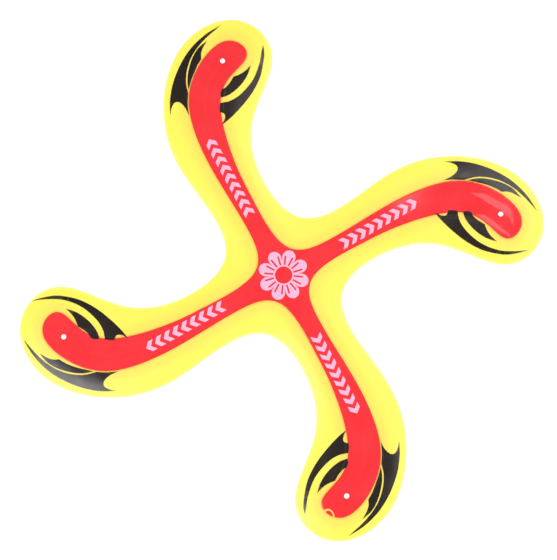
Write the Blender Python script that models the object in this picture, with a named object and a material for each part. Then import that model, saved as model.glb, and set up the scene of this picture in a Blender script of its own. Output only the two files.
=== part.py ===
"""Four-winged plastic boomerang, 280 mm from one tip to the opposite tip.

One moulded wing body with a flat underside carries a raised, four-armed stripe. A cross of foil covers the
stripe, four printed claws surround the stripe near each tip, a strip of chevrons runs along each arm and a
rosette marks the hub. A small hole goes through each tip.

Plan dimensions are in millimetres and describe the arm that points along +X. The other three arms are its
quarter turns about the hub's centre, which is the origin, and the flat underside lies on z = 0.
"""
import math

import bmesh
import bpy
import numpy as np
from mathutils import Vector
from mathutils.geometry import delaunay_2d_cdt

MM = 0.001
ARMS = 4

# Control points of one arm's share of two closed cubic B-splines, counter-clockwise.
WING_CONTROL = ((18, -18), (51, -12), (83, -21), (103, -58), (136, -48), (139, -14), (116, 12), (82, 24), (47, 16))
STRIPE_CONTROL = ((7, -4), (46, -5), (64, -5), (108, -14), (107, -45), (131, -35), (114, -2), (90, 6), (63, 7), (28, 4))
SPLINE_STEPS = 5            # chords between neighbouring control points

# Heights above the underside.
EDGE_TOP = 1.8              # top of the thin outer edge
WING_TOP = 3.0              # wing surface at the foot of the stripe
STRIPE_TOP = 3.8            # flat top of the raised stripe
STRIPE_DRAFT = 0.5          # how far the stripe's foot stands out from its top edge
EDGE_PROFILE = ((0.4, 0.0), (0.0, 0.4), (0.0, 1.2), (0.3, 1.6), (0.9, EDGE_TOP))   # (inset, height)
SURFACE_SPACING = 7.0       # distance between surface points on the wing
SURFACE_MARGIN = 2.5        # least distance from a surface point to an outline
LEAST_TRIANGLE = 1e-5       # twice the area of the smallest triangle kept, in square millimetres

# The hole through each tip.
HOLE_CENTRE = (115.2, -25.9)
HOLE_RADIUS = 1.5
HOLE_SIDES = 16

# Foil and print, thicker than the real film so that each is a solid of its own.
FILM_THICKNESS = 0.3
FILM_GAP = 0.3
FOIL_INSET = 0.1
PRINT_CLEARANCE = 0.9       # from the top edge of the stripe to the nearest claw

# Printed claws of one arm, clockwise. Each side starts at a sharp corner and passes through the points
# after it on its way to the next corner.
CLAWS = {
    "claw_lead_outer": (
        ((103.3, 12), (110.5, 8.3), (118, 2.4), (125, -5.9), (130, -14.9), (132.8, -25)),
        ((133.4, -34.5), (130.6, -23.3), (126.7, -14.5), (121.3, -8), (114.6, -3.5)),
        ((107, -1.4), (102.5, 1.4)),
        ((97.8, 3.5), (103, 3.3), (106.8, 4.5), (107.9, 6.8), (106.4, 9.4)),
    ),
    "claw_lead_inner": (
        ((108.6, -2.4), (114.1, -4.1), (119.2, -7.3), (124.4, -12.3), (127.9, -17.8)),
        ((129.4, -24.2), (127.1, -20.5), (124.8, -18)),
        ((121.9, -16.5), (119.2, -12.3), (114.8, -7.5)),
    ),
    "claw_trail_outer": (
        ((85.5, -9.2), (86.6, -14.5), (89, -22), (93, -31), (98.5, -39), (106, -45.4), (112, -48.2)),
        ((119.5, -50), (112.5, -47), (105.5, -42.6), (99.4, -35.5), (95.8, -27), (94.9, -20)),
        ((96.3, -14.2), (94.2, -12.7)),
        ((92, -11.6), (91, -12.9), (89.5, -13.3), (87.5, -12)),
    ),
    "claw_trail_inner": (
        ((98.5, -16), (98.1, -21), (99.5, -27.5), (102.5, -33.5)),
        ((106.7, -38.2), (105.4, -34), (105.1, -30.5)),
        ((105.5, -27), (103.6, -23.8), (102.4, -20.5)),
        ((102.3, -18.4), (100.7, -16.7)),
    ),
}
CLAW_STEPS = 2              # chords between neighbouring points of a side

# The strip of chevrons along each arm.
CHEVRON_COUNT = 9
CHEVRON_START = 35.1
CHEVRON_PITCH = 5.1
CHEVRON_HALF_HEIGHT = 2.8
CHEVRON_STROKE = 2.7
CHEVRON_LEAD = 2.4          # how far a chevron's point stands ahead of its ends
CHEVRON_SPINE_HALF = 0.4

# The rosette on the hub.
PETALS = 8
PETAL_TIP_RADIUS = 13.0
PETAL_ROOT_RADIUS = 7.5
PETAL_ROUNDNESS = 0.45      # below 1 widens a petal's round end
ROSETTE_HOLE_RADIUS = 4.5
ROSETTE_SIDES = 96

MATERIALS = {
    # name: (red, green, blue), roughness
    "yellow_plastic": ((0.95, 0.90, 0.06), 0.35),
    "red_foil": ((0.85, 0.03, 0.04), 0.25),
    "black_print": ((0.02, 0.018, 0.016), 0.3),
    "pale_print": ((0.90, 0.55, 0.72), 0.45),
}


# ---- plan geometry, in millimetres -------------------------------------------------------------------

def turned(points, arm):
    """The points of the first arm, turned to the place of another arm."""
    angle = arm * 2 * math.pi / ARMS
    turn = np.array(((math.cos(angle), math.sin(angle)), (-math.sin(angle), math.cos(angle))))
    return np.asarray(points, float) @ turn


def spline_loop(control):
    """A closed cubic B-spline round all the arms, from the control points of one arm."""
    around = np.vstack([turned(control, arm) for arm in range(ARMS)])
    before, after, beyond = (np.roll(around, shift, axis=0) for shift in (1, -1, -2))
    t = (np.arange(SPLINE_STEPS) / SPLINE_STEPS)[None, :, None]
    spans = ((1 - t) ** 3 * before[:, None] + (3 * t ** 3 - 6 * t ** 2 + 4) * around[:, None]
             + (1 + 3 * t + 3 * t ** 2 - 3 * t ** 3) * after[:, None] + t ** 3 * beyond[:, None]) / 6
    return spans.reshape(-1, 2)


def inset_loop(loop, distance):
    """A counter-clockwise loop moved inwards by a distance, point for point."""
    along = np.roll(loop, -1, axis=0) - np.roll(loop, 1, axis=0)
    along /= np.linalg.norm(along, axis=1)[:, None]
    inwards = np.column_stack((-along[:, 1], along[:, 0]))
    return loop + distance * inwards


def circle_loop(centre, radius, sides):
    angles = np.arange(sides) * 2 * math.pi / sides
    return np.asarray(centre, float) + radius * np.column_stack((np.cos(angles), np.sin(angles)))


def nearest_on_loop(points, loop):
    """For each point, the nearest point of a closed loop."""
    points = np.asarray(points, float)[:, None]
    start, run = loop[None], (np.roll(loop, -1, axis=0) - loop)[None]
    share = np.clip(((points - start) * run).sum(2) / (run ** 2).sum(2), 0, 1)
    feet = start + share[..., None] * run
    best = np.linalg.norm(points - feet, axis=2).argmin(axis=1)
    return feet[np.arange(len(best)), best]


def distance_to_loop(points, loop):
    return np.linalg.norm(points - nearest_on_loop(points, loop), axis=1)


def inside(points, loops):
    """Whether each point is inside the loops, with a loop inside another counted as a hole."""
    x, y = np.asarray(points, float)[:, 0:1], np.asarray(points, float)[:, 1:2]
    crossings = np.zeros(len(points), int)
    for loop in loops:
        (x0, y0), (x1, y1) = loop.T, np.roll(loop, -1, axis=0).T
        spans = (y0 > y) != (y1 > y)
        rise = np.where(y1 == y0, 1, y1 - y0)
        crossings += (spans & (x < x0 + (y - y0) * (x1 - x0) / rise)).sum(axis=1)
    return crossings % 2 == 1


def surface_points(loops):
    """A triangular grid of points inside the loops, clear of their edges."""
    reach = np.abs(loops[0]).max()
    rows = np.arange(-reach, reach, SURFACE_SPACING * math.sqrt(3) / 2)
    columns = np.arange(-reach, reach, SURFACE_SPACING)
    grid = np.array([(x + SURFACE_SPACING / 2 * (row % 2), y) for row, y in enumerate(rows) for x in columns])
    grid = grid[inside(grid, loops)]
    for loop in loops:
        grid = grid[distance_to_loop(grid, loop) > SURFACE_MARGIN]
    return grid


def curved_side(points):
    """A smooth curve through points, without its last one (a Catmull-Rom spline)."""
    points = np.asarray(points, float)
    padded = np.vstack((2 * points[0] - points[1], points, 2 * points[-1] - points[-2]))
    curve = []
    for a, b, c, d in zip(padded, padded[1:], padded[2:], padded[3:]):
        for t in np.arange(CLAW_STEPS) / CLAW_STEPS:
            curve.append((2 * b + (c - a) * t + (2 * a - 5 * b + 4 * c - d) * t ** 2
                          + (3 * b - a - 3 * c + d) * t ** 3) / 2)
    return curve


def claw_loop(sides, stripe):
    """A claw's outline, counter-clockwise and kept clear of the stripe."""
    outline = []
    for side, following in zip(sides, sides[1:] + sides[:1]):
        outline += curved_side(side + following[:1])
    outline = np.array(outline)
    foot = nearest_on_loop(outline, stripe)
    away = outline - foot
    distance = np.linalg.norm(away, axis=1)
    outwards = away / distance[:, None] * np.where(inside(outline, [stripe]), -1, 1)[:, None]
    signed = np.where(inside(outline, [stripe]), -distance, distance)
    close = signed < PRINT_CLEARANCE
    outline[close] = foot[close] + outwards[close] * PRINT_CLEARANCE
    twice_area = np.cross(outline, np.roll(outline, -1, axis=0)).sum()
    return outline if twice_area > 0 else outline[::-1]


def chevron_loop():
    """The outline of a row of chevrons joined by a thin spine."""
    shoulder = CHEVRON_LEAD * (1 - CHEVRON_SPINE_HALF / CHEVRON_HALF_HEIGHT)
    lower = []
    for count in range(CHEVRON_COUNT):
        x = CHEVRON_START + count * CHEVRON_PITCH
        lower += [(x + shoulder, -CHEVRON_SPINE_HALF), (x, -CHEVRON_HALF_HEIGHT),
                  (x + CHEVRON_STROKE, -CHEVRON_HALF_HEIGHT), (x + CHEVRON_STROKE + shoulder, -CHEVRON_SPINE_HALF)]
    lower[-1] = (x + CHEVRON_STROKE + CHEVRON_LEAD, 0)
    return np.array(lower + [(x, -y) for x, y in reversed(lower[:-1])], float)


def rosette_loop():
    angles = np.arange(ROSETTE_SIDES) * 2 * math.pi / ROSETTE_SIDES
    swell = np.abs(np.cos(PETALS / 2 * angles)) ** PETAL_ROUNDNESS
    radius = PETAL_ROOT_RADIUS + (PETAL_TIP_RADIUS - PETAL_ROOT_RADIUS) * swell
    return radius[:, None] * np.column_stack((np.cos(angles), np.sin(angles)))


def tip_hole_loops():
    return [circle_loop(turned([HOLE_CENTRE], arm)[0], HOLE_RADIUS, HOLE_SIDES) for arm in range(ARMS)]


# ---- meshes ------------------------------------------------------------------------------------------

def add_ring(mesh, loop, heights):
    """Vertices of a loop at one height, or at a height for each point."""
    heights = np.broadcast_to(heights, len(loop))
    return [mesh.verts.new(Vector((x, y, z)) * MM) for (x, y), z in zip(loop, heights)]


def add_band(mesh, lower, upper):
    """A band of faces between two rings of equal count."""
    count = len(lower)
    for i in range(count):
        j = (i + 1) % count
        mesh.faces.new((lower[i], lower[j], upper[j], upper[i]))


def add_sheet(mesh, rings, loops, height, points=()):
    """Triangles between rings that exist already, through extra surface points."""
    verts, edges = [], []
    for ring in rings:
        first = len(verts)
        verts += ring
        edges += [(first + i, first + (i + 1) % len(ring)) for i in range(len(ring))]
    plan = [Vector(point) for loop in loops for point in loop] + [Vector(point) for point in points]
    if len(points):
        verts += add_ring(mesh, points, height(points))
    _, _, faces, origins, _, _ = delaunay_2d_cdt(plan, edges, [], 0, 1e-6)
    corners = [[origins[i][0] for i in face] for face in faces]
    middles = np.array([sum((plan[i] for i in corner), Vector((0, 0))) / 3 for corner in corners])
    for corner, used in zip(corners, inside(middles, loops)):
        a, b, c = (plan[i] for i in corner)
        if used and (b - a).cross(c - a) > LEAST_TRIANGLE:
            mesh.faces.new([verts[i] for i in corner])


def add_part(name, mesh, material):
    """Close the books on a mesh: face it outwards and make it an object."""
    bmesh.ops.triangulate(mesh, faces=mesh.faces)
    bmesh.ops.recalc_face_normals(mesh, faces=mesh.faces)
    data = bpy.data.meshes.new(name)
    mesh.to_mesh(data)
    mesh.free()
    data.materials.append(material)
    data.shade_smooth()
    data.set_sharp_from_angle(angle=math.radians(30))
    part = bpy.data.objects.new(name, data)
    bpy.context.collection.objects.link(part)
    return part


def make_material(name, colour, roughness):
    material = bpy.data.materials.new(name)
    material.use_nodes = True
    shader = material.node_tree.nodes["Principled BSDF"]
    shader.inputs["Base Color"].default_value = (*colour, 1)
    shader.inputs["Roughness"].default_value = roughness
    shader.inputs["Metallic"].default_value = 0
    material.diffuse_color = (*colour, 1)
    return material


# ---- parts -------------------------------------------------------------------------------------------

class WingSurface:
    """The wing's top between its edge and the foot of the stripe: an airfoil, steepest at the edge."""

    def __init__(self, wing, stripe):
        self.edge = inset_loop(wing, EDGE_PROFILE[-1][0])
        self.foot = inset_loop(stripe, -STRIPE_DRAFT)

    def height(self, points):
        to_edge = distance_to_loop(points, self.edge)
        to_foot = distance_to_loop(points, self.foot)
        share = to_edge / (to_edge + to_foot)
        return EDGE_TOP + (WING_TOP - EDGE_TOP) * (1 - (1 - share) ** 2)


def make_wing_body(wing, stripe, surface, material):
    mesh = bmesh.new()
    edge_loops = [inset_loop(wing, inset) for inset, _ in EDGE_PROFILE]
    edge = [add_ring(mesh, loop, height) for loop, (_, height) in zip(edge_loops, EDGE_PROFILE)]
    for lower, upper in zip(edge, edge[1:]):
        add_band(mesh, lower, upper)
    foot, crest = add_ring(mesh, surface.foot, WING_TOP), add_ring(mesh, stripe, STRIPE_TOP)
    add_band(mesh, foot, crest)
    holes = tip_hole_loops()
    mouths = [add_ring(mesh, hole, 0) for hole in holes]
    rims = [add_ring(mesh, hole, STRIPE_TOP) for hole in holes]
    for mouth, rim in zip(mouths, rims):
        add_band(mesh, mouth, rim)
    top_loops = [surface.edge, surface.foot]
    add_sheet(mesh, [edge[0]] + mouths, [edge_loops[0]] + holes, None)
    add_sheet(mesh, [edge[-1], foot], top_loops, surface.height, surface_points(top_loops))
    add_sheet(mesh, [crest] + rims, [stripe] + holes, None)
    return add_part("wing_body", mesh, material)


def make_film(name, loops, height, material):
    """A thin plate with the given outline and holes, lying at a height above the underside."""
    mesh = bmesh.new()
    lower = [add_ring(mesh, loop, height(loop)) for loop in loops]
    upper = [add_ring(mesh, loop, height(loop) + FILM_THICKNESS) for loop in loops]
    for bottom, top in zip(lower, upper):
        add_band(mesh, bottom, top)
    add_sheet(mesh, lower, loops, height)
    add_sheet(mesh, upper, loops, height)
    return add_part(name, mesh, material)


def make_boomerang():
    for old in list(bpy.data.objects):
        bpy.data.objects.remove(old)
    materials = {name: make_material(name, *look) for name, look in MATERIALS.items()}
    wing, stripe = spline_loop(WING_CONTROL), spline_loop(STRIPE_CONTROL)
    surface = WingSurface(wing, stripe)
    foil_height = STRIPE_TOP + FILM_GAP
    mark_height = foil_height + FILM_THICKNESS + FILM_GAP

    make_wing_body(wing, stripe, surface, materials["yellow_plastic"])
    make_film("stripe_foil", [inset_loop(stripe, FOIL_INSET)] + tip_hole_loops(),
              lambda loop: np.full(len(loop), foil_height), materials["red_foil"])
    make_film("hub_rosette", [rosette_loop(), circle_loop((0, 0), ROSETTE_HOLE_RADIUS, ROSETTE_SIDES // 2)],
              lambda loop: np.full(len(loop), mark_height), materials["pale_print"])
    for arm in range(ARMS):
        make_film(f"chevron_strip_{arm + 1}", [turned(chevron_loop(), arm)],
                  lambda loop: np.full(len(loop), mark_height), materials["pale_print"])
        for name, sides in CLAWS.items():
            make_film(f"{name}_{arm + 1}", [turned(claw_loop(sides, stripe), arm)],
                      lambda loop: surface.height(loop) + FILM_GAP, materials["black_print"])


make_boomerang()
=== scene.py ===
"""Looks of the four-winged plastic boomerang: moulded wings, foil stripe and printed marks.

Plan dimensions are in millimetres, for the arm that points along +X. The other arms are its quarter turns
about the hub, which is the origin. The boomerang lies on its flat underside, and the printed face is up.
"""
import math

import bmesh
import bpy
import numpy as np
from mathutils import Matrix, Vector
from mathutils.geometry import delaunay_2d_cdt
from mathutils.kdtree import KDTree


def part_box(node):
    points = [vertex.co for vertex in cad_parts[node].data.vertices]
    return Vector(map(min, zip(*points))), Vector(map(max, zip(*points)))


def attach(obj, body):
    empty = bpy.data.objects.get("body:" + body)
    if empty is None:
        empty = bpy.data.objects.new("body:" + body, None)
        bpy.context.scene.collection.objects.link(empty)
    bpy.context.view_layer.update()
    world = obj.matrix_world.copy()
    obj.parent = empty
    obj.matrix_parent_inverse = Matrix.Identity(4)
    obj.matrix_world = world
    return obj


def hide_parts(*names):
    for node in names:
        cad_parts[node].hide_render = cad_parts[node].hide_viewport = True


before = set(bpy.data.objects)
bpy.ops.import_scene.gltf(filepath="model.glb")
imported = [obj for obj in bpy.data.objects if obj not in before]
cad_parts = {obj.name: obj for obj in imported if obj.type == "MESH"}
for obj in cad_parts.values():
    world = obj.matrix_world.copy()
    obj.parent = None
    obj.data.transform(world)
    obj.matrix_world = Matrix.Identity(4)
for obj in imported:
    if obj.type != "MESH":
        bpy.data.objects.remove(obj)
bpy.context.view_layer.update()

MM = 0.001
ARMS = 4
BODY_LOW, BODY_HIGH = (np.array(corner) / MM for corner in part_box("wing_body"))

# Control points of one arm's share of two closed cubic B-splines, counter-clockwise.
WING_CONTROL = ((18, -18), (51, -12), (83, -21), (103, -58), (136, -48),
                (139, -14), (116, 12), (82, 24), (47, 16))
STRIPE_CONTROL = ((7, -4), (46, -5), (64, -5), (108, -14), (107, -45),
                  (131, -35), (114, -2), (90, 6), (63, 7), (28, 4))
SPLINE_STEPS = 24           # chords between neighbouring control points
WING_GROWTH = 0.3           # how far the wing's outline lies outside its spline

# Heights above the underside.
STRIPE_TOP = BODY_HIGH[2]   # the stripe's top at its rim
WING_TOP = STRIPE_TOP - 0.8 # wing surface at the foot of the stripe
EDGE_TOP = STRIPE_TOP - 2.0 # wing surface at the inner end of the edge's round

# Faint ridges on the stripe near each tip: points of each crest, as x, y and the width of the flanks.
RIDGES = (
    ((107.6, -9.6, 0.3), (110, -13.8, 2.9), (112, -17.8, 3.4), (114.2, -21.5, 3.6), (116.6, -25.2, 3.6),
     (117.3, -30.5, 3.1), (117.7, -34.2, 0.3)),
    ((102.8, -20, 0.5), (104.4, -22.7, 2.4), (106.5, -26, 2.6), (108.5, -30.3, 2.5), (110.4, -34.9, 2.4),
     (112.2, -37.6, 2), (114, -38.6, 0.3)),
)
RIDGE_SLOPE = 0.05
RIDGE_RIM = 0.6             # the ridges fade out within this distance of the stripe's edge line
RIDGE_SKIN = 0.04           # how much lower the ridges are in the plastic than in the foil
RIDGE_ROWS = (-1.12, -0.96, -0.5, -0.08, 0.08, 0.5, 0.96, 1.12)     # rows of surface points, in flank widths

# The round along the outer edge.
EDGE_INSET = 0.9            # width of the round
EDGE_DROP = 0.65            # height of the round
EDGE_SLOPE = 0.13           # slope of the wing where the round ends
EDGE_STEPS = 7
BOTTOM_ROUND = 0.4
BOTTOM_STEPS = 4

# The wall between the wing and the stripe: an S-shaped step across the stripe's edge line.
WALL_OUT = 0.6              # how far its foot lies outside the line
WALL_IN = 0.35              # how far its crest lies inside the line
WALL_STEPS = 9

# The hole through each tip.
HOLE_CENTRE = (115.2, -25.9)
HOLE_RADIUS = 1.2
HOLE_SIDES = 48
HOLE_ROUND = 0.25           # width of the round at its rim in the stripe

# Marks of the mould on the underside.
PIN_PLACES = ((34, 0), (72, 1), (112, -8))
PIN_RADIUS = 2.6
PIN_DEPTH = 0.18
GATE_RADIUS = 4.2
GATE_DEPTH = 0.45
GATE_NUB_RADIUS = 1.1
GATE_NUB = ((0.1, GATE_DEPTH), (0.02, 0.3), (-0.1, 0.16))       # the nub's profile: growth in radius, height
CIRCLE_SIDES = 40

SURFACE_SPACING = 1.5       # distance between surface points
SURFACE_MARGIN = 0.7        # least distance from a surface point to an outline
LEAST_TRIANGLE = 1e-7       # twice the area of the smallest triangle kept, in square millimetres
LEAST_FILM_TRIANGLE = 1e-5  # the same for films, whose straight sides leave rounding slivers

# Foil and print.
FILM_LIFT = 0.012           # from the surface below a film to its underside
FOIL_THICKNESS = 0.03
PRINT_THICKNESS = 0.035
FOIL_INSET = -0.05
FOIL_RINGS = (0.1, 0.18, 0.26, 0.35, 0.5, 0.65, 0.85, 1.2)     # rings of surface points, by their inset
RIDGE_CLEARANCE = FOIL_RINGS[-1] + 0.3          # least inset of the surface points along the ridges
FOIL_HOLE_MARGIN = 0.1      # how much larger the foil's holes are than the plastic's
PRINT_STEP = 0.22           # distance between points of a claw's outline
CHEVRON_STEP = 0.35         # the same for a chevron
CHEVRON_SPACING, ROSETTE_SPACING = 0.8, 1.0     # distance between surface points of these prints
FILM_MARGIN = 0.45          # least distance from a film's surface points to its outline, in spacings
EXTRA_CLEARANCE = 0.7       # the same to extra surface points
EXTRA_MARGIN = 0.05         # least distance from extra surface points to the outline

# A small arch on one tip where the foil has lifted off.
FLAW_ARM = 3
FLAW_CENTRE = (119.3, -38.4)
FLAW_RADII = (3.4, 2.4)
FLAW_STRETCH = (1.0, 0.75)

# Printed claws of one arm, clockwise. Each side starts at a sharp corner and passes through the points
# after it on its way to the next corner.
CLAWS = {
    "claw_lead_outer": (
        ((103.3, 12), (110.5, 8.3), (118, 2.4), (125, -5.9), (130, -14.9), (132.8, -25)),
        ((133.4, -34.5), (130.6, -23.3), (126.7, -14.5), (121.3, -8), (114.6, -3.5)),
        ((107, -1.4), (102.5, 1.4)),
        ((97.8, 3.5), (103, 3.3), (106.8, 4.5), (107.9, 6.8), (106.4, 9.4)),
    ),
    "claw_lead_inner": (
        ((108.6, -2.4), (114.1, -4.1), (119.2, -7.3), (124.4, -12.3), (127.9, -17.8)),
        ((129.4, -24.2), (127.1, -20.5), (124.8, -18)),
        ((121.9, -16.5), (119.2, -12.3), (114.8, -7.5)),
    ),
    "claw_trail_outer": (
        ((85.5, -9.2), (86.6, -14.5), (89, -22), (93, -31), (98.5, -39), (106, -45.4), (112, -48.2)),
        ((119.5, -50), (112.5, -47), (105.5, -42.6), (99.4, -35.5), (95.8, -27), (94.9, -20)),
        ((96.3, -14.2), (94.2, -12.7)),
        ((92, -11.6), (91, -12.9), (89.5, -13.3), (87.5, -12)),
    ),
    "claw_trail_inner": (
        ((98.5, -16), (98.1, -21), (99.5, -27.5), (102.5, -33.5)),
        ((106.7, -38.2), (105.4, -34), (105.1, -30.5)),
        ((105.5, -27), (103.6, -23.8), (102.4, -20.5)),
        ((102.3, -18.4), (100.7, -16.7)),
    ),
}
CLAW_SHIFT = ((-0.25, 0.6), (-0.4, 0.0), (0.8, -0.3), (0.1, -0.45))     # how far each arm's claws are off
TRAIL_TIP_SHIFT = ((0, 0), (-6.2, 1.0), (1.5, -0.5), (-6.3, 1.3))       # how far the long trailing tip is off
TIP_FOLLOW = 0.3            # share of that shift of the outline's points beside the tip
LEAD_CLEARANCE = 0.55       # from the stripe's edge line to the nearest leading claw
TRAIL_START = 80            # how far out along the arm the trailing claws begin

# The row of chevrons along each arm.
CHEVRON_COUNT = 9
CHEVRON_START = 35.1
CHEVRON_PITCH = 5.1
CHEVRON_HALF_HEIGHT = 2.8
CHEVRON_STROKE = 2.7
CHEVRON_LEAD = 2.4          # how far a chevron's point stands ahead of its ends
ROW_SHIFT = ((-1.4, 0.25), (0.5, 0.3), (-0.5, -0.6), (-0.2, -0.6))      # how far each row is off its place
ROW_TILT = (1.6, -0.1, 0.9, -0.5)                                       # degrees

# The rosette on the hub.
PETALS = 8
PETAL_TIP_RADIUS = 13.3
PETAL_ROOT_RADIUS = 7.5
PETAL_ROUNDNESS = 0.45      # below 1 widens a petal's round end
ROSETTE_HOLE_RADIUS = 4.5
SLITS_PER_PETAL = 2
SLIT_WIDTH = 0.9
SLIT_REACH = (5.3, 9.9)
ROSETTE_SIDES = 192

# The camera stands almost over the hub. Directions in plan are degrees from +X.
CAMERA_PLACE = (-41.5, -54.9, 676.3)
CAMERA_TARGET = (-3.5, -0.9, 2.5)
CAMERA_UP = 61.5
CAMERA_LENS = 84.1
PHOTO_RIGHT = -28.5         # plan direction that is to the right in the picture

FLOOR_SIZE = 6.0            # metres
FLOOR_DROP = 0.00005        # how far the floor lies below the boomerang, in metres
FLOOR_GLOW = 0.85           # the floor is a light table
SKY_LOW, SKY_HIGH = 0.8, 0.34   # brightness of the room at the horizon and overhead
SKY_FADE = 0.8              # share of the way up at which the room reaches its overhead brightness

# The lights: plan direction, lean from the vertical in degrees, then distance, width and depth in metres,
# and radiance.
SOFTBOXES = {
    "softbox_right": (PHOTO_RIGHT + 10, 34.5, 1.48, 0.7, 1.5, 2.9),
    "softbox_left": (PHOTO_RIGHT + 220, 31, 1.40, 0.7, 0.6, 7.5),
    "softbox_top": (PHOTO_RIGHT + 48, 22.4, 1.30, 0.15, 0.30, 3.3),
    "softbox_small": (PHOTO_RIGHT + 61, 16.5, 1.25, 0.15, 0.15, 2.6),
}


# ---- plan geometry, in millimetres -------------------------------------------------------------------

def turned(points, arm):
    """The points of the first arm, turned to the place of another arm."""
    return rotated(points, arm * 360 / ARMS)


def rotated(points, degrees):
    angle = math.radians(degrees)
    turn = np.array(((math.cos(angle), math.sin(angle)), (-math.sin(angle), math.cos(angle))))
    return np.asarray(points, float) @ turn


def spline_loop(control):
    """A closed cubic B-spline round all the arms, from the control points of one arm."""
    around = np.vstack([turned(control, arm) for arm in range(ARMS)])
    before, after, beyond = (np.roll(around, shift, axis=0) for shift in (1, -1, -2))
    t = (np.arange(SPLINE_STEPS) / SPLINE_STEPS)[None, :, None]
    spans = ((1 - t) ** 3 * before[:, None] + (3 * t ** 3 - 6 * t ** 2 + 4) * around[:, None]
             + (1 + 3 * t + 3 * t ** 2 - 3 * t ** 3) * after[:, None] + t ** 3 * beyond[:, None]) / 6
    return spans.reshape(-1, 2)


def inset_loop(loop, distance):
    """A counter-clockwise loop moved inwards by a distance, point for point."""
    along = np.roll(loop, -1, axis=0) - np.roll(loop, 1, axis=0)
    along /= np.linalg.norm(along, axis=1)[:, None]
    inwards = np.column_stack((-along[:, 1], along[:, 0]))
    return loop + distance * inwards


def circle_loop(centre, radius, sides):
    angles = np.arange(sides) * 2 * math.pi / sides
    return np.asarray(centre, float) + radius * np.column_stack((np.cos(angles), np.sin(angles)))


def in_chunks(work, points, size=1500):
    """work(points), done on a few points at a time to save memory."""
    return np.concatenate([work(points[i:i + size]) for i in range(0, max(len(points), 1), size)])


def nearest_on_loop(points, loop):
    """For each point, the nearest point of a closed loop."""
    start, run = loop[None], (np.roll(loop, -1, axis=0) - loop)[None]

    def work(some):
        some = some[:, None]
        share = np.clip(((some - start) * run).sum(2) / (run ** 2).sum(2), 0, 1)
        feet = start + share[..., None] * run
        best = ((some - feet) ** 2).sum(2).argmin(axis=1)
        return feet[np.arange(len(best)), best]
    return in_chunks(work, np.asarray(points, float))


def inside(points, loops):
    """Whether each point is inside the loops, with a loop inside another counted as a hole."""
    def work(some):
        x, y = some[:, 0:1], some[:, 1:2]
        crossings = np.zeros(len(some), int)
        for loop in loops:
            (x0, y0), (x1, y1) = loop.T, np.roll(loop, -1, axis=0).T
            spans = (y0 > y) != (y1 > y)
            rise = np.where(y1 == y0, 1, y1 - y0)
            crossings += (spans & (x < x0 + (y - y0) * (x1 - x0) / rise)).sum(axis=1)
        return crossings % 2 == 1
    return in_chunks(work, np.asarray(points, float))


def signed_distance(points, loop):
    """Distance to a closed loop, negative inside it."""
    distance = np.linalg.norm(points - nearest_on_loop(points, loop), axis=1)
    return np.where(inside(points, [loop]), -distance, distance)


def surface_points(loops, spacing=SURFACE_SPACING, margin=SURFACE_MARGIN):
    """A triangular grid of points inside the loops, clear of their edges."""
    low, high = loops[0].min(axis=0), loops[0].max(axis=0)
    rows = np.arange(low[1], high[1], spacing * math.sqrt(3) / 2)
    columns = np.arange(low[0], high[0], spacing)
    grid = np.array([(x + spacing / 2 * (row % 2), y) for row, y in enumerate(rows) for x in columns])
    if len(grid) == 0:
        return grid.reshape(0, 2)
    grid = grid[inside(grid, loops)]
    for loop in loops:
        if len(grid):
            grid = grid[np.linalg.norm(grid - nearest_on_loop(grid, loop), axis=1) > margin]
    return grid


def even_steps(curve, step, closed=True):
    """Points at even distances along a line."""
    if closed:
        curve = np.vstack((curve, curve[:1]))
    length = np.concatenate(([0], np.cumsum(np.linalg.norm(np.diff(curve, axis=0), axis=1))))
    count = max(2, round(length[-1] / step))
    places = np.arange(count) * length[-1] / count
    return np.column_stack([np.interp(places, length, curve[:, axis]) for axis in (0, 1)])


def smooth_line(points):
    """A smooth curve through points (a Catmull-Rom spline)."""
    points = np.asarray(points, float)
    padded = np.vstack((2 * points[0] - points[1], points, 2 * points[-1] - points[-2]))
    curve = []
    for a, b, c, d in zip(padded, padded[1:], padded[2:], padded[3:]):
        for t in np.linspace(0, 1, 12, endpoint=False):
            curve.append((2 * b + (c - a) * t + (2 * a - 5 * b + 4 * c - d) * t ** 2
                          + (3 * b - a - 3 * c + d) * t ** 3) / 2)
    return np.vstack((curve, points[-1:]))


def curved_side(points):
    """A smooth curve through points, in even steps and without its last point."""
    return even_steps(smooth_line(points), PRINT_STEP, closed=False)


def claw_loop(name, arm):
    """A printed claw's outline on one arm."""
    sides = [np.array(side, float) for side in CLAWS[name]]
    if name == "claw_trail_outer":
        shift = np.array(TRAIL_TIP_SHIFT[arm])
        sides[1][0] += shift
        sides[0][-1] += TIP_FOLLOW * shift
        sides[1][1] += TIP_FOLLOW * shift
    outline = [curved_side(np.vstack((side, following[:1])))
               for side, following in zip(sides, sides[1:] + sides[:1])]
    return turned(np.vstack(outline) + CLAW_SHIFT[arm], arm)


def chevron_loops(shift, tilt):
    """The outlines of a row of chevrons."""
    point = (CHEVRON_LEAD, 0)
    chevron = np.array(((0, -CHEVRON_HALF_HEIGHT), (CHEVRON_STROKE, -CHEVRON_HALF_HEIGHT),
                        (CHEVRON_STROKE + CHEVRON_LEAD, 0), (CHEVRON_STROKE, CHEVRON_HALF_HEIGHT),
                        (0, CHEVRON_HALF_HEIGHT), point))
    middle = np.array((CHEVRON_START + (CHEVRON_COUNT - 1) * CHEVRON_PITCH / 2, 0))
    rows = []
    for count in range(CHEVRON_COUNT):
        loop = chevron + (CHEVRON_START + count * CHEVRON_PITCH, 0)
        rows.append(rotated(loop - middle, tilt) + middle + np.array(shift))
    return rows


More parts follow.
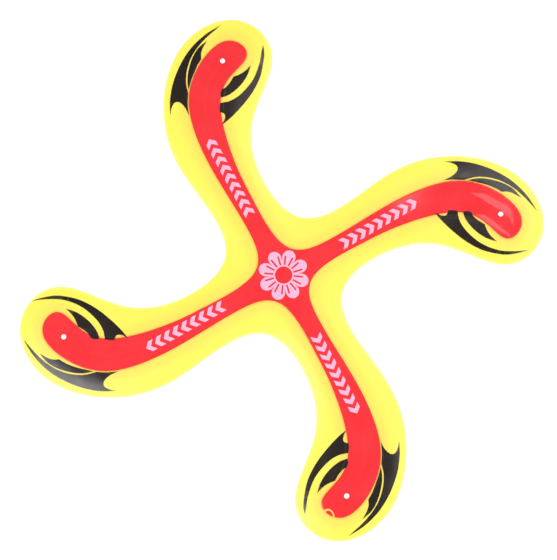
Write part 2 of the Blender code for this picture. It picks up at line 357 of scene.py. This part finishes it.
def rosette_loop():
    angles = np.arange(ROSETTE_SIDES) * 2 * math.pi / ROSETTE_SIDES
    swell = np.abs(np.cos(PETALS / 2 * angles)) ** PETAL_ROUNDNESS
    radius = PETAL_ROOT_RADIUS + (PETAL_TIP_RADIUS - PETAL_ROOT_RADIUS) * swell
    return radius[:, None] * np.column_stack((np.cos(angles), np.sin(angles)))


def slit_loops():
    """The outlines of the rosette's fine slits."""
    inner, outer = SLIT_REACH
    half = SLIT_WIDTH / 2
    slit = ((inner, -half), (outer, -half), (outer + half, 0), (outer, half), (inner, half))
    slits = SLITS_PER_PETAL * PETALS
    return [rotated(slit, (count + 0.5) * 360 / slits) for count in range(slits)]


def smooth_step(share):
    share = np.clip(share, 0, 1)
    return share * share * (3 - 2 * share)


def ridge_crests():
    """Every ridge's crest, with the width of its flanks."""
    for line in RIDGES:
        crest = smooth_line(line)
        for arm in range(ARMS):
            yield turned(crest[:, :2], arm), crest[:, 2]


def ridge_points():
    """Surface points along the ridges."""
    points = []
    for crest, widths in ridge_crests():
        along = np.gradient(crest, axis=0)
        along /= np.linalg.norm(along, axis=1)[:, None]
        side = np.column_stack((-along[:, 1], along[:, 0])) * widths[:, None]
        for row in RIDGE_ROWS:
            points.append((crest + row * side)[::3])
    return np.vstack(points)


def clear_of(points, others, distance):
    """Those points that are farther than a distance from all others."""
    tree = KDTree(len(others))
    for i, (x, y) in enumerate(others):
        tree.insert((x, y, 0), i)
    tree.balance()
    return points[[tree.find((x, y, 0))[2] > distance for x, y in points]]


class Surface:
    """Height of the boomerang's top: an airfoil, a soft wall and a level stripe."""

    def __init__(self):
        self.wing = inset_loop(spline_loop(WING_CONTROL), -WING_GROWTH)
        self.stripe = spline_loop(STRIPE_CONTROL)
        self.edge = inset_loop(self.wing, EDGE_INSET)
        self.foot = inset_loop(self.stripe, -WALL_OUT)

    def airfoil(self, points):
        to_edge = np.linalg.norm(points - nearest_on_loop(points, self.edge), axis=1)
        to_foot = np.linalg.norm(points - nearest_on_loop(points, self.foot), axis=1)
        share = to_edge / np.maximum(to_edge + to_foot, 1e-9)
        return EDGE_TOP + (WING_TOP - EDGE_TOP) * (1 - (1 - share) ** 2)

    def height(self, points):
        off = signed_distance(points, self.stripe)
        wing = np.full(len(points), WING_TOP)
        wing[off > WALL_OUT] = self.airfoil(points[off > WALL_OUT])
        return wing + (STRIPE_TOP - wing) * smooth_step((WALL_OUT - off) / (WALL_OUT + WALL_IN))

    def relief(self, points):
        """How much the ridges add to the stripe's height."""
        height = np.zeros(len(points))
        for crest, widths in ridge_crests():
            near = in_chunks(lambda some: ((some[:, None] - crest[None]) ** 2).sum(2).argmin(axis=1), points)
            off = np.linalg.norm(points - crest[near], axis=1)
            height = np.maximum(height, RIDGE_SLOPE * (widths[near] - off))
        raised = height > 0
        height[raised] *= smooth_step(-signed_distance(points[raised], self.stripe) / RIDGE_RIM)
        return height


# ---- meshes ------------------------------------------------------------------------------------------

class Shell:
    """A closed mesh under construction, with points in millimetres."""

    def __init__(self):
        self.points, self.faces = [], []

    def ring(self, loop, heights):
        """Adds the points of a loop and gives their numbers."""
        first = len(self.points)
        heights = np.broadcast_to(heights, len(loop))
        self.points += [(x, y, z) for (x, y), z in zip(loop, heights)]
        return list(range(first, len(self.points)))

    def band(self, lower, upper):
        """Faces between two rings of equal count."""
        count = len(lower)
        for i in range(count):
            j = (i + 1) % count
            self.faces.append((lower[i], lower[j], upper[j], upper[i]))

    def bands(self, rings):
        for lower, upper in zip(rings, rings[1:]):
            self.band(lower, upper)

    def sheet(self, rings, inner=(), heights=(), upwards=True):
        """Triangles between rings that exist already, through extra surface points."""
        numbers, edges = [], []
        for ring in rings:
            first = len(numbers)
            numbers += ring
            edges += [(first + i, first + (i + 1) % len(ring)) for i in range(len(ring))]
        if len(inner):
            numbers += self.ring(inner, heights)
        loops = [np.array([self.points[i][:2] for i in ring]) for ring in rings]
        plan = np.array([self.points[i][:2] for i in numbers])
        _, _, faces, origins, _, _ = delaunay_2d_cdt([Vector(p) for p in plan], edges, [], 0, 1e-6)
        corners = np.array([[origins[i][0] for i in face] for face in faces])
        a, b, c = plan[corners[:, 0]], plan[corners[:, 1]], plan[corners[:, 2]]
        used = inside((a + b + c) / 3, loops) & (np.cross(b - a, c - a) > LEAST_TRIANGLE)
        for corner in corners[used]:
            face = [numbers[i] for i in corner]
            self.faces.append(tuple(face if upwards else face[::-1]))

    def make(self, name, material, values=None):
        """The finished piece. values gives each named number that the material reads, for all points."""
        data = bpy.data.meshes.new(name)
        data.from_pydata([Vector(p) * MM for p in self.points], [], self.faces)
        for label, numbers in (values or {}).items():
            layer = data.attributes.new(label, "FLOAT", "POINT")
            layer.data.foreach_set("value", np.asarray(numbers, np.float32))
        work = bmesh.new()
        work.from_mesh(data)
        bmesh.ops.recalc_face_normals(work, faces=work.faces)
        work.to_mesh(data)
        work.free()
        data.materials.append(material)
        data.shade_smooth()
        data.set_sharp_from_angle(angle=math.radians(40))
        piece = bpy.data.objects.new(name, data)
        bpy.context.collection.objects.link(piece)
        return piece


def join_frame(piece, slot, *nodes):
    """The piece rides with the boomerang and stands for its CAD nodes. Its slot is not used."""
    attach(piece, "root")
    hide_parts(*nodes)


def edge_rings(shell, wing):
    """Rings of the outer edge, from the flat underside to the start of the wing's surface."""
    profile = [(EDGE_INSET, 0.0)]
    for turn in np.linspace(0, math.pi / 2, BOTTOM_STEPS + 1):
        profile.append((BOTTOM_ROUND * (1 - math.sin(turn)), BOTTOM_ROUND * (1 - math.cos(turn))))
    for turn in np.linspace(0, math.pi / 2, EDGE_STEPS + 1):
        inset = EDGE_INSET * (1 - math.cos(turn))
        height = EDGE_TOP - EDGE_SLOPE * (EDGE_INSET - inset) - EDGE_DROP * (1 - math.sin(turn))
        profile.append((inset, height))
    return [shell.ring(inset_loop(wing, inset), height) for inset, height in profile]


def recess_rings(shell, centre, radius, depth):
    """A round recess in the underside. Gives its mouth and closes its top."""
    mouth = shell.ring(circle_loop(centre, radius, CIRCLE_SIDES), 0)
    lip = shell.ring(circle_loop(centre, radius - 0.03, CIRCLE_SIDES), 0.03)
    wall = shell.ring(circle_loop(centre, radius - 0.08, CIRCLE_SIDES), depth - 0.03)
    top = shell.ring(circle_loop(centre, radius - 0.14, CIRCLE_SIDES), depth)
    shell.bands([mouth, lip, wall, top])
    return mouth, top


def hole_places():
    return [turned([HOLE_CENTRE], arm)[0] for arm in range(ARMS)]


def hole_rings(shell, surface, centre):
    """A round hole with softened rims. Gives its mouth in the underside and its rim in the stripe."""
    top = surface.height(np.array([centre]))[0]
    profile = ((0.12, 0.0), (0.05, 0.07), (0.0, 0.14), (0.0, top - HOLE_ROUND),
               (0.07, top - 0.07), (HOLE_ROUND, top))
    rings = []
    for out, height in profile:
        loop = circle_loop(centre, HOLE_RADIUS + out, HOLE_SIDES)
        rings.append(shell.ring(loop, surface.height(loop) if height == top else height))
    shell.bands(rings)
    return rings[0], rings[-1]


def make_wing(surface, material):
    """The moulding: flat underside with mould marks, rounded edge, airfoil, wall and stripe."""
    shell = Shell()
    edge = edge_rings(shell, surface.wing)
    shell.bands(edge)
    crossing = np.linspace(-WALL_OUT, WALL_IN, WALL_STEPS + 1)
    wall_loops = [inset_loop(surface.stripe, inset) for inset in crossing]
    climb = WING_TOP + (STRIPE_TOP - WING_TOP) * smooth_step((crossing + WALL_OUT) / (WALL_OUT + WALL_IN))
    wall = [shell.ring(loop, height) for loop, height in zip(wall_loops, climb)]
    shell.bands(wall)

    holes = [hole_rings(shell, surface, place) for place in hole_places()]
    mouths, rims = [mouth for mouth, _ in holes], [rim for _, rim in holes]
    for arm in range(ARMS):
        for place in PIN_PLACES:
            mouth, top = recess_rings(shell, turned([place], arm)[0], PIN_RADIUS, PIN_DEPTH)
            shell.sheet([top], upwards=False)
            mouths.append(mouth)
    mouth, top = recess_rings(shell, (0, 0), GATE_RADIUS, GATE_DEPTH)
    nub = [shell.ring(circle_loop((0, 0), GATE_NUB_RADIUS + out, CIRCLE_SIDES), height)
           for out, height in GATE_NUB]
    shell.bands(nub)
    shell.sheet([top, nub[0]], upwards=False)
    shell.sheet([nub[-1]], upwards=False)
    mouths.append(mouth)

    shell.sheet([edge[0]] + mouths, upwards=False)
    wing_points = surface_points([surface.edge, surface.foot])
    shell.sheet([edge[-1], wall[0]], wing_points, surface.airfoil(wing_points))
    rim_loops = [circle_loop(place, HOLE_RADIUS + HOLE_ROUND, HOLE_SIDES) for place in hole_places()]
    cap_points = surface_points([wall_loops[-1]] + rim_loops)
    cap_heights = surface.height(cap_points) + np.maximum(surface.relief(cap_points) - RIDGE_SKIN, 0)
    shell.sheet([wall[-1]] + rims, cap_points, cap_heights)

    plan = np.array(shell.points)[:, :2]
    to_hole = np.min([np.linalg.norm(plan - place, axis=1) for place in hole_places()], axis=0)
    return shell.make("wing_shell", material, {
        "from_stripe": signed_distance(plan, surface.stripe),
        "from_edge": np.linalg.norm(plan - nearest_on_loop(plan, surface.wing), axis=1),
        "from_hole": to_hole - HOLE_RADIUS})


def add_film(shell, surface, loops, lift, thickness, spacing=SURFACE_SPACING, extra=(), keep_off=None,
             ridged=False):
    """A thin closed plate with the given outline and holes, laid on the top and kept off a loop."""
    inner = surface_points(loops, spacing, spacing * FILM_MARGIN)
    if len(extra):
        extra = extra[inside(extra, loops)]
    if len(extra):
        far = np.min([np.linalg.norm(extra - nearest_on_loop(extra, loop), axis=1) for loop in loops], axis=0)
        extra = extra[far > EXTRA_MARGIN]
        inner = np.vstack((clear_of(inner, extra, spacing * EXTRA_CLEARANCE), extra))
    outlines = loops + ([] if keep_off is None else [keep_off])
    first, edges = 0, []
    for loop in outlines:
        edges += [(first + i, first + (i + 1) % len(loop)) for i in range(len(loop))]
        first += len(loop)
    plan = [Vector(point) for point in np.vstack(outlines + [inner])]
    plan, _, faces, _, _, _ = delaunay_2d_cdt(plan, edges, [], 0, 1e-6)
    plan, faces = np.array([tuple(point) for point in plan]), np.array(faces)
    a, b, c = plan[faces[:, 0]], plan[faces[:, 1]], plan[faces[:, 2]]
    used = inside((a + b + c) / 3, loops) & (np.cross(b - a, c - a) > LEAST_FILM_TRIANGLE)
    if keep_off is not None:
        used &= ~inside((a + b + c) / 3, [keep_off])
    numbers, faces = np.unique(faces[used], return_inverse=True)
    plan, faces = plan[numbers], faces.reshape(-1, 3)
    base = surface.height(plan) + lift + (surface.relief(plan) if ridged else 0)
    lower, upper = shell.ring(plan, base), shell.ring(plan, base + thickness)
    sides = set()
    for a, b, c in faces.tolist():
        shell.faces += [(upper[a], upper[b], upper[c]), (lower[c], lower[b], lower[a])]
        sides |= {(a, b), (b, c), (c, a)}
    for a, b in sorted(sides):
        if (b, a) not in sides:
            shell.faces.append((lower[a], lower[b], upper[b], upper[a]))


def flaw_loop():
    """The outline of a small arch where one tip's foil has lifted off."""
    angles = np.radians(np.linspace(215, -35, 26))
    spans = [np.column_stack((radius * np.cos(angles), radius * np.sin(angles))) for radius in FLAW_RADII]
    return turned(np.vstack((spans[0], spans[1][::-1])) * FLAW_STRETCH + np.array(FLAW_CENTRE), FLAW_ARM)


def make_foil(surface, material):
    shell = Shell()
    loops = [inset_loop(surface.stripe, FOIL_INSET)]
    loops += [circle_loop(place, HOLE_RADIUS + FOIL_HOLE_MARGIN, HOLE_SIDES) for place in hole_places()]
    ridges = ridge_points()
    ridges = ridges[signed_distance(ridges, surface.stripe) < -RIDGE_CLEARANCE]
    rings = [inset_loop(surface.stripe, inset) for inset in FOIL_RINGS]
    add_film(shell, surface, loops, FILM_LIFT, FOIL_THICKNESS, extra=np.vstack(rings + [ridges]),
             keep_off=flaw_loop(), ridged=True)
    plan = np.array(shell.points)[:, :2]
    return shell.make("foil_cross", material,
                      {"from_rim": np.linalg.norm(plan - nearest_on_loop(plan, surface.stripe), axis=1)})


def make_claws(surface, material):
    """Each arm's four printed claws. The trailing ones climb the stripe, and the leading ones stay off it."""
    wall = np.vstack([even_steps(inset_loop(surface.stripe, inset), PRINT_STEP)
                      for inset in np.linspace(-WALL_OUT, WALL_IN, WALL_STEPS + 1)])
    wall = wall[(wall[:, 0] > TRAIL_START) & (wall[:, 1] < 0)]
    brim = inset_loop(surface.stripe, -LEAD_CLEARANCE)
    for arm in range(ARMS):
        for name in CLAWS:
            loop = claw_loop(name, arm)
            shell = Shell()
            if "lead" in name:
                add_film(shell, surface, [loop], FILM_LIFT, PRINT_THICKNESS, keep_off=brim)
            else:
                add_film(shell, surface, [loop], FILM_LIFT * 3 + FOIL_THICKNESS, PRINT_THICKNESS,
                         extra=turned(wall, arm), ridged=True)
            plan = np.array(shell.points)[:, :2]
            piece = shell.make(f"print_{name}_{arm + 1}", material,
                               {"from_rim": np.linalg.norm(plan - nearest_on_loop(plan, loop), axis=1),
                                "from_stripe": signed_distance(plan, surface.stripe)})
            join_frame(piece, "black_print", f"{name}_{arm + 1}")


def make_chevrons(surface, material):
    for arm in range(ARMS):
        shell = Shell()
        for loop in chevron_loops(ROW_SHIFT[arm], ROW_TILT[arm]):
            corners = np.vstack((loop, loop[:1]))
            sides = [even_steps(np.array(pair), CHEVRON_STEP, closed=False)
                     for pair in zip(corners, corners[1:])]
            add_film(shell, surface, [turned(np.vstack(sides), arm)], FILM_LIFT * 2 + FOIL_THICKNESS,
                     PRINT_THICKNESS, CHEVRON_SPACING)
        row = shell.make(f"print_chevrons_{arm + 1}", material)
        join_frame(row, "pale_print", f"chevron_strip_{arm + 1}")


def make_rosette(surface, material):
    shell = Shell()
    loops = [rosette_loop(), circle_loop((0, 0), ROSETTE_HOLE_RADIUS, ROSETTE_SIDES // 2)] + slit_loops()
    add_film(shell, surface, loops, FILM_LIFT * 2 + FOIL_THICKNESS, PRINT_THICKNESS, ROSETTE_SPACING)
    return shell.make("print_rosette", material)


# ---- materials ---------------------------------------------------------------------------------------

class Look:
    """A material under construction."""

    def __init__(self, name):
        self.material = bpy.data.materials.new(name)
        self.material.use_nodes = True
        self.tree = self.material.node_tree
        self.shader = self.tree.nodes["Principled BSDF"]

    def node(self, kind, sockets=None, **settings):
        """Adds a node. A socket is given a value, or an output to link."""
        made = self.tree.nodes.new("ShaderNode" + kind)
        for key, value in settings.items():
            setattr(made, key, value)
        for key, value in (sockets or {}).items():
            self.put(made.inputs[key], value)
        return made

    def put(self, socket, value):
        if isinstance(value, bpy.types.NodeSocket):
            self.tree.links.new(value, socket)
        else:
            socket.default_value = value

    def set(self, **sockets):
        for key, value in sockets.items():
            self.put(self.shader.inputs[key.replace("_", " ")], value)

    def noise(self, size, detail=2.0, stretch=(1, 1, 1), roughness=0.5):
        """Noise from 0 to 1 whose blotches are about size millimetres wide."""
        place = self.node("TexCoord").outputs["Object"]
        place = self.node("Mapping", {"Vector": place, "Scale": stretch}).outputs["Vector"]
        made = self.node("TexNoise", {"Vector": place, "Scale": 1 / (size * MM), "Detail": detail,
                                      "Roughness": roughness})
        return made.outputs["Fac"]

    def ramp(self, value, low, high, to_low=0.0, to_high=1.0, smooth=True):
        made = self.node("MapRange", {"Value": value, "From Min": low, "From Max": high,
                                      "To Min": to_low, "To Max": to_high},
                         interpolation_type="SMOOTHSTEP" if smooth else "LINEAR")
        return made.outputs["Result"]

    def blend(self, share, first, second):
        made = self.node("Mix", data_type="RGBA")
        self.put(made.inputs[0], share)
        for socket, colour in ((made.inputs[6], first), (made.inputs[7], second)):
            self.put(socket, colour if isinstance(colour, bpy.types.NodeSocket) else (*colour, 1))
        return made.outputs[2]

    def larger(self, first, second):
        return self.node("Math", {0: first, 1: second}, operation="MAXIMUM").outputs[0]

    def number(self, label):
        return self.node("Attribute", attribute_name=label).outputs["Fac"]

    def bump(self, height, distance, strength=1.0, below=None):
        sockets = {"Height": height, "Distance": distance * MM, "Strength": strength}
        if below is not None:
            sockets["Normal"] = below
        return self.node("Bump", sockets).outputs["Normal"]


def yellow_plastic():
    """Glossy moulded plastic. Painted light makes it paler at the thin edge and whitens the holes; painted
    shade deepens it where it thickens by the stripe and at the wall's foot.
    """
    look = Look("yellow_plastic")
    # Painted shade: deeper, more orange yellow towards the stripe, where the thicker plastic lets less light
    # through from below.
    painted_shade_near_stripe = look.ramp(look.number("from_stripe"), 1.0, 8.5, 1.0, 0.0)
    colour = look.blend(painted_shade_near_stripe, (0.93, 0.825, 0.107), (0.93, 0.715, 0.115))
    # Painted shade: darker orange yellow in the crease at the foot of the stripe's wall.
    foot = look.ramp(look.number("from_stripe"), 0.5, 1.5, 1.0, 0.0)
    colour = look.blend(foot, colour, (0.93, 0.60, 0.11))
    # Painted light: paler yellow along the outer edge, where the thin plastic lets light through from the
    # light table.
    painted_rim_and_thin_ink = look.ramp(look.number("from_edge"), 0.2, 1.9, 1.0, 0.0)
    colour = look.blend(painted_rim_and_thin_ink, colour, (0.92, 0.85, 0.25))
    cloud = look.ramp(look.noise(22, 3), 0.35, 0.75, 0.0, 0.3)
    colour = look.blend(cloud, colour, (0.93, 0.80, 0.098))
    speck = look.ramp(look.noise(2.2, 1), 0.835, 0.86, 0.0, 0.5)
    colour = look.blend(speck, colour, (0.45, 0.25, 0.04))
    # Painted light: the hole's wall and rim are whitened as if lit through from the light table below.
    painted_hole_light = look.ramp(look.number("from_hole"), 0.1, 0.3, 1.0, 0.0)
    colour = look.blend(painted_hole_light, colour, (0.96, 0.96, 0.92))
    peel = look.bump(look.noise(1.6, 2), 0.012)
    scratches = look.ramp(look.noise(0.7, 2, (1, 0.03, 1)), 0.66, 0.74)
    relief = look.bump(scratches, 0.004, 0.6, below=peel)
    look.set(Base_Color=colour, Normal=relief, Specular_IOR_Level=0.35,
             Roughness=look.ramp(look.noise(9, 3), 0.3, 0.7, 0.28, 0.40))
    look.set(Subsurface_Weight=0.15, Subsurface_Radius=(0.004, 0.003, 0.001), Subsurface_Scale=1.0)
    return look.material


def red_foil():
    """Hot-stamped glossy foil with faint cloudiness, lengthwise streaks, fine rub marks and a painted shade
    along its rim.
    """
    look = Look("red_foil")
    cloud = look.ramp(look.noise(14, 3), 0.3, 0.7)
    colour = look.blend(cloud, (0.855, 0.027, 0.035), (0.875, 0.035, 0.045))
    across = look.node("CombineXYZ", {"X": look.number("from_rim"), "Y": look.noise(60, 1)}).outputs["Vector"]
    lines = look.node("TexNoise", {"Vector": across, "Scale": 1.6, "Detail": 3.0}).outputs["Fac"]
    streak = look.ramp(lines, 0.52, 0.72, 0.0, 0.45)
    colour = look.blend(streak, colour, (0.85, 0.055, 0.07))
    # Painted shade: darker, more orange red along the foil's rim, where it turns down the wall.
    painted_rim_and_thin_ink = look.ramp(look.number("from_rim"), 0.0, 0.6, 1.0, 0.0)
    colour = look.blend(painted_rim_and_thin_ink, colour, (0.72, 0.048, 0.012))
    ripple = look.bump(look.noise(6, 2), 0.006)
    rub = look.ramp(look.noise(0.5, 2, (0.04, 1, 1)), 0.64, 0.72)
    relief = look.bump(rub, 0.003, 0.5, below=ripple)
    look.set(Base_Color=colour, Normal=relief, Specular_IOR_Level=0.35,
             Roughness=look.ramp(look.noise(3, 3), 0.3, 0.7, 0.05, 0.09))
    return look.material


def black_print():
    """Glossy black ink with fine dust marks and a slightly thin rim, dull where it climbs the stripe."""
    look = Look("black_print")
    painted_rim_and_thin_ink = look.ramp(look.number("from_rim"), 0.0, 0.2, 1.0, 0.0)
    colour = look.blend(painted_rim_and_thin_ink, (0.013, 0.007, 0.005), (0.04, 0.03, 0.008))
    speck = look.ramp(look.noise(0.55, 1), 0.78, 0.83)
    colour = look.blend(speck, colour, (0.12, 0.11, 0.09))
    peel = look.bump(look.noise(1.3, 2), 0.008)
    gloss = look.ramp(look.noise(5, 3), 0.3, 0.7, 0.18, 0.27)
    dull = look.ramp(look.number("from_stripe"), 1.0, 1.8, 0.85, 0.0)
    look.set(Base_Color=colour, Normal=peel, Roughness=look.larger(gloss, dull), Specular_IOR_Level=0.45)
    return look.material


def pale_print():
    """Semi-matt pale ink, a little mottled where the red shows through."""
    look = Look("pale_print")
    mottle = look.ramp(look.noise(0.8, 3), 0.5, 0.85, 0.0, 0.5)
    colour = look.blend(mottle, (0.80, 0.45, 0.64), (0.78, 0.25, 0.36))
    grain = look.bump(look.noise(0.4, 2), 0.006)
    look.set(Base_Color=colour, Normal=grain, Roughness=look.ramp(look.noise(2, 2), 0.3, 0.7, 0.38, 0.52))
    return look.material


def floor_finish():
    """A white light table."""
    look = Look("floor_white")
    tone = look.ramp(look.noise(180, 2), 0.3, 0.7)
    look.set(Base_Color=look.blend(tone, (0.90, 0.90, 0.90), (0.92, 0.92, 0.92)), Roughness=0.6,
             Emission_Color=(1, 1, 1, 1), Emission_Strength=FLOOR_GLOW)
    return look.material


# ---- stage -------------------------------------------------------------------------------------------

def make_floor():
    corners = [(x * FLOOR_SIZE / 2, y * FLOOR_SIZE / 2, BODY_LOW[2] * MM - FLOOR_DROP)
               for x, y in ((-1, -1), (1, -1), (1, 1), (-1, 1))]
    data = bpy.data.meshes.new("floor")
    data.from_pydata(corners, [], [(0, 1, 2, 3)])
    data.materials.append(floor_finish())
    floor = bpy.data.objects.new("floor", data)
    bpy.context.collection.objects.link(floor)


def aimed(place, target, up):
    """A transform at place, looking at target along -Z with up along +Y."""
    back = (Vector(place) - Vector(target)).normalized()
    right = Vector(up).cross(back).normalized()
    turn = Matrix((right, back.cross(right), back)).transposed().to_4x4()
    return Matrix.Translation(Vector(place)) @ turn


def make_camera():
    data = bpy.data.cameras.new("camera")
    data.lens = CAMERA_LENS
    data.sensor_width = 36
    data.sensor_fit = "HORIZONTAL"
    data.clip_start, data.clip_end = 0.01, 50
    camera = bpy.data.objects.new("camera", data)
    angle = math.radians(CAMERA_UP)
    camera.matrix_world = aimed(Vector(CAMERA_PLACE) * MM, Vector(CAMERA_TARGET) * MM,
                                (math.cos(angle), math.sin(angle), 0))
    bpy.context.collection.objects.link(camera)
    bpy.context.scene.camera = camera


def softbox(name, direction, lean, distance, width, depth, radiance):
    """A soft light in a plan direction, leaning away from the vertical, facing the hub."""
    data = bpy.data.lights.new(name, "AREA")
    data.shape = "RECTANGLE"
    data.size, data.size_y = width, depth
    data.energy = radiance * math.pi * width * depth
    lamp = bpy.data.objects.new(name, data)
    around, down = math.radians(direction), math.radians(lean)
    out = math.sin(down)
    place = Vector((out * math.cos(around), out * math.sin(around), math.cos(down))) * distance
    lamp.matrix_world = aimed(place, (0, 0, 0), (-math.sin(around), math.cos(around), 0))
    bpy.context.collection.objects.link(lamp)


def make_lights():
    world = bpy.data.worlds.new("studio")
    world.use_nodes = True
    background = world.node_tree.nodes["Background"]
    background.inputs["Color"].default_value = (1, 1, 1, 1)
    place = world.node_tree.nodes.new("ShaderNodeTexCoord")
    height = world.node_tree.nodes.new("ShaderNodeSeparateXYZ")
    fade = world.node_tree.nodes.new("ShaderNodeMapRange")
    fade.interpolation_type = "SMOOTHSTEP"
    for socket, value in (("From Min", 0), ("From Max", SKY_FADE), ("To Min", SKY_LOW), ("To Max", SKY_HIGH)):
        fade.inputs[socket].default_value = value
    world.node_tree.links.new(place.outputs["Generated"], height.inputs["Vector"])
    world.node_tree.links.new(height.outputs["Z"], fade.inputs["Value"])
    world.node_tree.links.new(fade.outputs["Result"], background.inputs["Strength"])
    bpy.context.scene.world = world
    for name, settings in SOFTBOXES.items():
        softbox(name, *settings)


# ---- the boomerang -----------------------------------------------------------------------------------

def make_boomerang():
    surface = Surface()
    join_frame(make_wing(surface, yellow_plastic()), "yellow_plastic", "wing_body")
    join_frame(make_foil(surface, red_foil()), "red_foil", "stripe_foil")
    pale = pale_print()
    join_frame(make_rosette(surface, pale), "pale_print", "hub_rosette")
    make_chevrons(surface, pale)
    make_claws(surface, black_print())


make_boomerang()
make_floor()
make_camera()
make_lights()
bpy.context.scene.view_settings.view_transform = "Standard"
